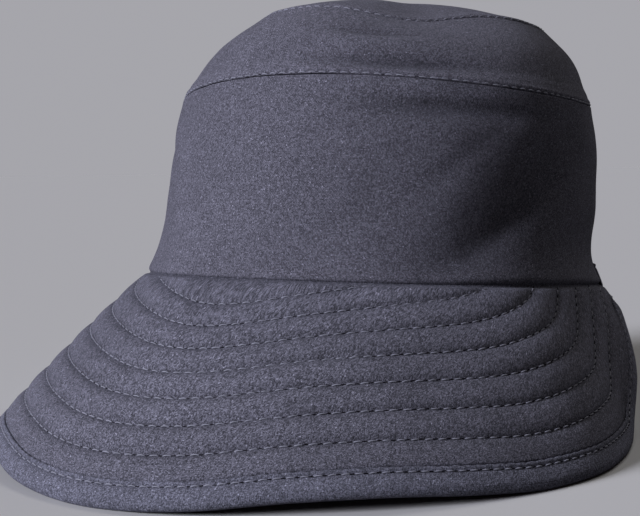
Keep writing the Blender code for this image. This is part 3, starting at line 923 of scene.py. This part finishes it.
def stitch_rows(name, paths, pitch, tree, sizes):
    """Stitches along each path, a list of points and outward directions, as one mesh."""
    points = []
    outward = []
    edges = []
    for path, normals in paths:
        first = len(points)
        points += path.tolist()
        outward += normals.tolist()
        edges += [(first + i, first + i + 1) for i in range(len(path) - 1)]
    mesh = bpy.data.meshes.new(name + "_path")
    mesh.from_pydata(points, edges, [])
    facing = mesh.attributes.new("outward", "FLOAT_VECTOR", "POINT")
    facing.data.foreach_set("vector", np.array(outward, np.float32).ravel())
    guide = put_in(name + "_path", mesh)
    maker = guide.modifiers.new("stitches", "NODES")
    maker.node_group = tree
    maker[sizes["Pitch"]] = pitch
    maker[sizes["Stitch Length"]] = pitch * STITCH_SHARE
    graph = bpy.context.evaluated_depsgraph_get()
    result = bpy.data.meshes.new_from_object(guide.evaluated_get(graph))
    result.name = name
    bpy.data.objects.remove(guide)
    result.shade_smooth()
    return put_in(name, result)


def quilt_paths(brim, side):
    """Path of every quilted row, on the upper face (side 1) or the lower (side -1)."""
    depth = ROW_VALLEY * math.exp(-ROW_SOFTNESS / ROW_HALF_WIDTH)
    base = -depth if side > 0 else -BRIM_CLOTH + UNDER_RELIEF * depth
    paths = []
    for row in range(1, QUILT_ROWS + 1):
        share = brim.row_share(row)
        inside = share[:, 0] * brim.length > ROW_START
        points, outward = brim.stitch_line(share, base, side)
        paths.append((points[inside], outward[inside]))
    return paths


def binding_paths(brim):
    """Path of the binding's stitches on its upper and its lower face."""
    share = (1.0 - (BINDING_STITCH - EDGE_RADIUS) / brim.length)[:, None]
    upper = brim.stitch_line(share, BINDING_PROUD - BINDING_DIP, 1.0)
    lower = brim.stitch_line(share, BINDING_PROUD - 2 * EDGE_RADIUS + BINDING_DIP_UNDER, -1.0)
    return [upper, lower]


def new_material(name, looks):
    """A material whose shader has those looks, with its node tree and the shader."""
    material = bpy.data.materials.new(name)
    material.use_nodes = True
    tree = material.node_tree
    shader = tree.nodes["Principled BSDF"]
    feed(tree, shader, looks)
    return material, tree, shader


def weighted(tree, source, low, high, dark, light):
    """A factor that runs from dark to light while the source runs from low to high."""
    limits = {"Value": source, "From Min": low, "From Max": high, "To Min": dark, "To Max": light}
    return add_node(tree, "ShaderNodeMapRange", limits)["Result"]


def finish_cloth(tree, shader, colour, factor, height, strength, distance):
    """Lead the shaded colour and a fine relief into the shader."""
    shade = {0: colour, "Scale": factor}
    tint = add_node(tree, "ShaderNodeVectorMath", shade, operation="SCALE")["Vector"]
    rise = {"Strength": strength, "Distance": distance, "Height": height}
    relief = add_node(tree, "ShaderNodeBump", rise)["Normal"]
    feed(tree, shader, {"Base Color": tint, "Normal": relief})


def make_cloth(name, colour, turn, speckle, threads_show):
    """A woven cotton: crossing threads, slubs, ridges faded a little lighter, and painted shade in the
    valleys and folds.
    """
    material, tree, shader = new_material(name, COTTON)
    weave_map = add_node(tree, "ShaderNodeUVMap", {}, uv_map="weave")["UV"]
    scale = (1.0 / WEAVE_PITCH, 1.0 / WEAVE_PITCH, 1.0)
    laid = {"Vector": weave_map, "Rotation": (0.0, 0.0, turn), "Scale": scale}
    place = add_node(tree, "ShaderNodeMapping", laid)["Vector"]
    split = add_node(tree, "ShaderNodeSeparateXYZ", {"Vector": place})
    waves = []
    for axis in ("X", "Y"):
        phase = reckon(tree, "MULTIPLY", split[axis], math.pi)
        waves.append(reckon(tree, "SINE", phase))
    weave = reckon(tree, "MULTIPLY", *waves)

    # Slubs are long and thin, along either thread
    slubs = []
    for wide, tall in ((SLUB_LENGTH, SLUB_WIDTH), (SLUB_WIDTH, SLUB_LENGTH)):
        drawn = {"Vector": place, "Scale": (1.0 / wide, 1.0 / tall, 1.0)}
        along = add_node(tree, "ShaderNodeMapping", drawn)["Vector"]
        cloudy = {"Vector": along, "Scale": 1.0, "Detail": 1.0}
        slubs.append(add_node(tree, "ShaderNodeTexNoise", cloudy)["Fac"])
    threads = reckon(tree, "ADD", *slubs)

    body = add_node(tree, "ShaderNodeTexCoord", {})["Object"]
    fine = {"Vector": body, "Scale": GRAIN_SCALE, "Detail": 1.0}
    grain = add_node(tree, "ShaderNodeTexNoise", fine)["Fac"]
    crossing = add_node(tree, "ShaderNodeVectorMath", {0: place}, operation="FLOOR")["Vector"]
    tuft = add_node(tree, "ShaderNodeTexWhiteNoise", {"Vector": crossing}, noise_dimensions="2D")
    tuft = tuft["Value"]
    broad = {"Vector": body, "Scale": BLOTCH_SCALE, "Detail": 3.0}
    blotch = add_node(tree, "ShaderNodeTexNoise", broad)["Fac"]
    proud = add_node(tree, "ShaderNodeAttribute", {}, attribute_name="ridge")["Fac"]

    showing = 0.16 * threads_show
    patchy = 0.75 * speckle
    factors = (
        weighted(tree, weave, -1.0, 1.0, 1.0 - showing, 1.0 + showing),
        weighted(tree, threads, 0.6, 1.4, 0.88, 1.12),
        weighted(tree, grain, 0.25, 0.75, 1.0 - speckle, 1.0 + speckle),
        weighted(tree, tuft, 0.0, 1.0, 1.0 - patchy, 1.0 + patchy),
        weighted(tree, tuft, 0.985, 1.0, 1.0, 1.7),
        weighted(tree, blotch, 0.3, 0.7, 0.93, 1.06),
        # Painted shade darkens valleys, grooves and folds; ridges fade a little lighter
        weighted(tree, proud, -1.6, 1.0, 0.62, 1.07),
    )
    total = factors[0]
    for factor in factors[1:]:
        total = reckon(tree, "MULTIPLY", total, factor)
    woven = reckon(tree, "MULTIPLY_ADD", weave, threads_show, threads)
    fuzz = reckon(tree, "MULTIPLY_ADD", grain, 3.0, woven)
    finish_cloth(tree, shader, colour, total, fuzz, strength=0.55, distance=0.00012)
    return material


def make_thread(name, colour):
    """Twisted sewing thread, a little glossier than the cloth."""
    material, tree, shader = new_material(name, {"Roughness": 0.55, "Sheen Weight": 0.15})
    body = add_node(tree, "ShaderNodeTexCoord", {})["Object"]
    shade = add_node(tree, "ShaderNodeTexNoise", {"Vector": body, "Scale": THREAD_SHADE_SCALE})["Fac"]
    twist = add_node(tree, "ShaderNodeTexNoise", {"Vector": body, "Scale": GRAIN_SCALE})["Fac"]
    factor = weighted(tree, shade, 0.3, 0.7, 0.75, 1.15)
    finish_cloth(tree, shader, colour, factor, twist, strength=0.5, distance=0.0001)
    return material


def flat_looks(colour):
    """Looks of a surface without any gloss."""
    return {"Base Color": (*colour, 1.0), "Roughness": 1.0, "Specular IOR Level": 0.0}


def shown_pale(tree, dim, pale, last):
    """Show the camera the pale shader, and let the dim one light everything else."""
    seen = add_node(tree, "ShaderNodeLightPath", {})["Is Camera Ray"]
    mix = add_node(tree, "ShaderNodeMixShader", {"Fac": seen, 1: dim, 2: pale})["Shader"]
    feed(tree, tree.nodes[last], {"Surface": mix})


def make_floor():
    """A plain pale floor, which gives back little light."""
    material, tree, shader = new_material("pale_floor", flat_looks(FLOOR_SHADE))
    grey = {"Color": (FLOOR_BOUNCE, FLOOR_BOUNCE, FLOOR_BOUNCE, 1.0)}
    dim = add_node(tree, "ShaderNodeBsdfDiffuse", grey)["BSDF"]
    shown_pale(tree, dim, shader.outputs["BSDF"], "Material Output")
    bpy.ops.mesh.primitive_circle_add(vertices=96, radius=60.0, fill_type="NGON")
    floor = bpy.context.object
    floor.name = "floor"
    floor.data.materials.append(material)


def soft_light(name, bearing, height, power, spread, colour):
    """A broad soft light that comes from that bearing and height."""
    data = bpy.data.lights.new(name, "SUN")
    data.energy = power
    data.angle = math.radians(spread)
    data.color = colour
    turn = math.radians(bearing)
    rise = math.radians(height)
    toward = Vector((math.sin(turn) * math.cos(rise), -math.cos(turn) * math.cos(rise), math.sin(rise)))
    light = put_in(name, data)
    light.location = toward * 2.0
    light.rotation_euler = toward.to_track_quat("Z", "Y").to_euler()


def make_world():
    """A dim even surround, which the camera sees in the shade of the lit floor."""
    world = bpy.data.worlds.new("surround")
    world.use_nodes = True
    tree = world.node_tree
    dim = tree.nodes["Background"]
    feed(tree, dim, {"Color": (*FILL_COLOUR, 1.0)})
    lit = KEY_POWER * math.sin(math.radians(KEY_HEIGHT)) / math.pi
    behind = BACK_POWER * math.sin(math.radians(BACK_HEIGHT)) / math.pi
    floor = [s * (lit * k + behind + f) for s, k, f in zip(FLOOR_SHADE, KEY_COLOUR, FILL_COLOUR)]
    pale = add_node(tree, "ShaderNodeBackground", {"Color": (*floor, 1.0)})["Background"]
    shown_pale(tree, dim.outputs["Background"], pale, "World Output")
    bpy.context.scene.world = world


def make_camera():
    """The camera at the photograph's viewing angle."""
    data = bpy.data.cameras.new("camera")
    data.lens = CAMERA_LENS
    data.clip_start = 0.01
    camera = put_in("camera", data)
    heading = Matrix.Rotation(CAMERA_YAW, 4, "Z")
    tilt = Matrix.Rotation(math.pi / 2.0 + CAMERA_PITCH, 4, "X")
    roll = Matrix.Rotation(CAMERA_ROLL, 4, "Z")
    camera.matrix_world = Matrix.Translation(CAMERA_PLACE) @ heading @ tilt @ roll
    bpy.context.scene.camera = camera


def main():
    """Dress the cap and set the scene round it."""
    crown = make_cloth("crown_cotton", CROWN_COLOUR, turn=0.0, speckle=0.62, threads_show=0.8)
    quilted = make_cloth("brim_cotton", BRIM_COLOUR, turn=0.35, speckle=0.75, threads_show=0.25)
    diagonal = math.pi / 4.0
    bias = make_cloth("bias_cotton", BIAS_COLOUR, turn=diagonal, speckle=0.65, threads_show=0.5)
    thread = make_thread("sewing_thread", THREAD_COLOUR)
    # The needle holes are painted shade: dark beads without gloss
    hole_shade = new_material("needle_hole_shade", flat_looks(HOLE_SHADE_COLOUR))[0]
    tree, sizes = stitch_tree(thread, hole_shade)
    dressed = [(make_side_band(crown), "crown_cloth")]

    near_edge = np.array((0.0, 0.003, 0.007, 0.012, 0.018, 0.026, 0.036, 0.048, 0.062))
    levels = np.concatenate([1.0 + near_edge, np.linspace(1.08, 1.96, 38)])
    levels = np.append(levels, (1.976, 1.984, 1.99, 1.996, 2.0, 2.02, lap_level(2.0)))
    upper, upper_seam = lapping_panel("upper_cloth", "upper_panel", 1.0, levels, crown)
    levels = np.concatenate([2.0 + near_edge * 0.65, np.linspace(2.054, 3.0, 46)])
    top, top_seam = lapping_panel("top_cloth", "top_panel", 2.0, levels, crown)
    seams = stitch_rows("crown_stitches", [upper_seam, top_seam], SEAM_PITCH, tree, sizes)
    dressed += [(upper, "crown_cloth"), (top, "crown_cloth"), (seams, "crown_cloth")]

    brim = Brim(BRIM_STEP)
    dressed.append((make_brim(brim, quilted), "brim_cloth"))
    dressed.append((make_binding(brim, bias), "trim_cloth"))
    dressed.append((make_hem(bias), "trim_cloth"))
    for name, side in (("quilting_stitches", 1.0), ("quilting_stitches_under", -1.0)):
        rows = stitch_rows(name, quilt_paths(brim, side), QUILT_PITCH, tree, sizes)
        dressed.append((rows, "brim_cloth"))
    edge = stitch_rows("binding_stitches", binding_paths(brim), BINDING_PITCH, tree, sizes)
    dressed.append((edge, "trim_cloth"))
    for piece, slot in dressed:
        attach(piece, "root")

    make_floor()
    make_world()
    soft_light("key", KEY_BEARING, KEY_HEIGHT, KEY_POWER, KEY_SPREAD, KEY_COLOUR)
    soft_light("back", BACK_BEARING, BACK_HEIGHT, BACK_POWER, BACK_SPREAD, BACK_COLOUR)
    make_camera()
    bpy.context.scene.view_settings.view_transform = "Standard"


main()
